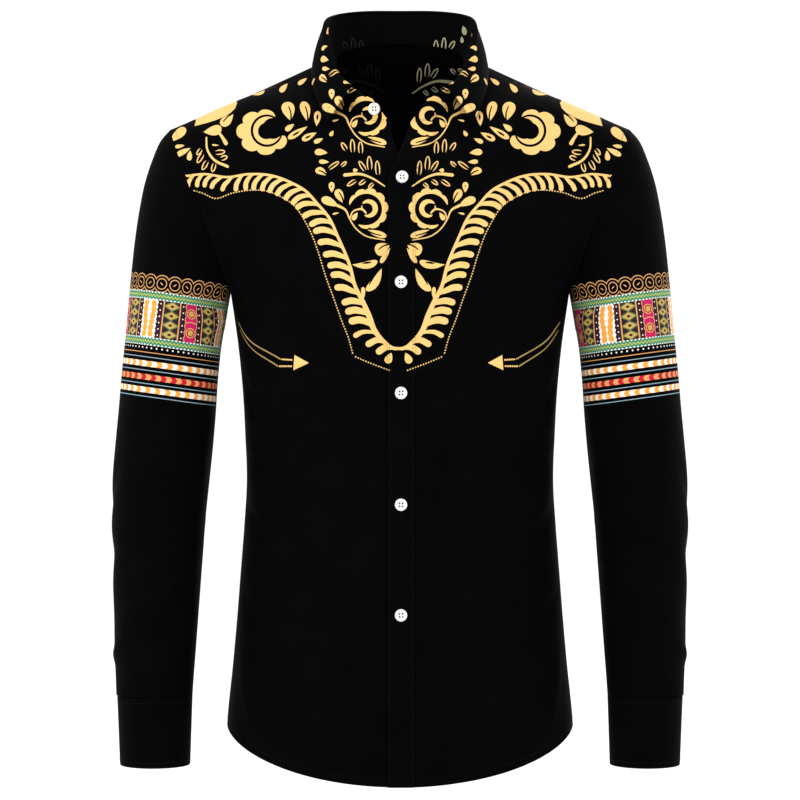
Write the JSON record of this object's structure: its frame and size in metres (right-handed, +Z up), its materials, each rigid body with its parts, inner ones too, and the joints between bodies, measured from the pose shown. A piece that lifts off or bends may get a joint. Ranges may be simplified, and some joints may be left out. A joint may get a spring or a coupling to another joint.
{
  "type": "dashiki shirt, worn form with no wearer",
  "caption": "Long-sleeved button-front dashiki shirt in black cotton, hollow and in worn form, with a turned-down collar, placket band, button cuffs and a curved shirt-tail hem.",
  "frame": {"origin": "middle of the neck, at the height where the shoulder seams reach the collar", "axes": "+Z up along the wearer's neck, -Y the way the front faces, +X towards the wearer's left sleeve"},
  "size_m": [0.5744, 0.234, 0.7777],
  "materials": {
    "cloth": "matt black plain-weave cotton with a printed gold floral front and bright border bands on the sleeves",
    "button": "glossy white moulded polyester"
  },
  "bodies": {
    "root": {"front_left": "cloth", "front_right": "cloth", "back": "cloth", "placket_band": "cloth", "sleeve_left": "cloth", "sleeve_right": "cloth", "sleeve_strip_left": "cloth", "sleeve_strip_right": "cloth", "cuff_left": "cloth", "cuff_right": "cloth", "collar_stand": "cloth", "collar_leaf": "cloth", "button_front_1": "button", "button_front_2": "button", "button_front_3": "button", "button_front_4": "button", "button_front_5": "button", "button_collar": "button", "button_cuff_left": "button", "button_cuff_right": "button"}
  },
  "joints": []
}
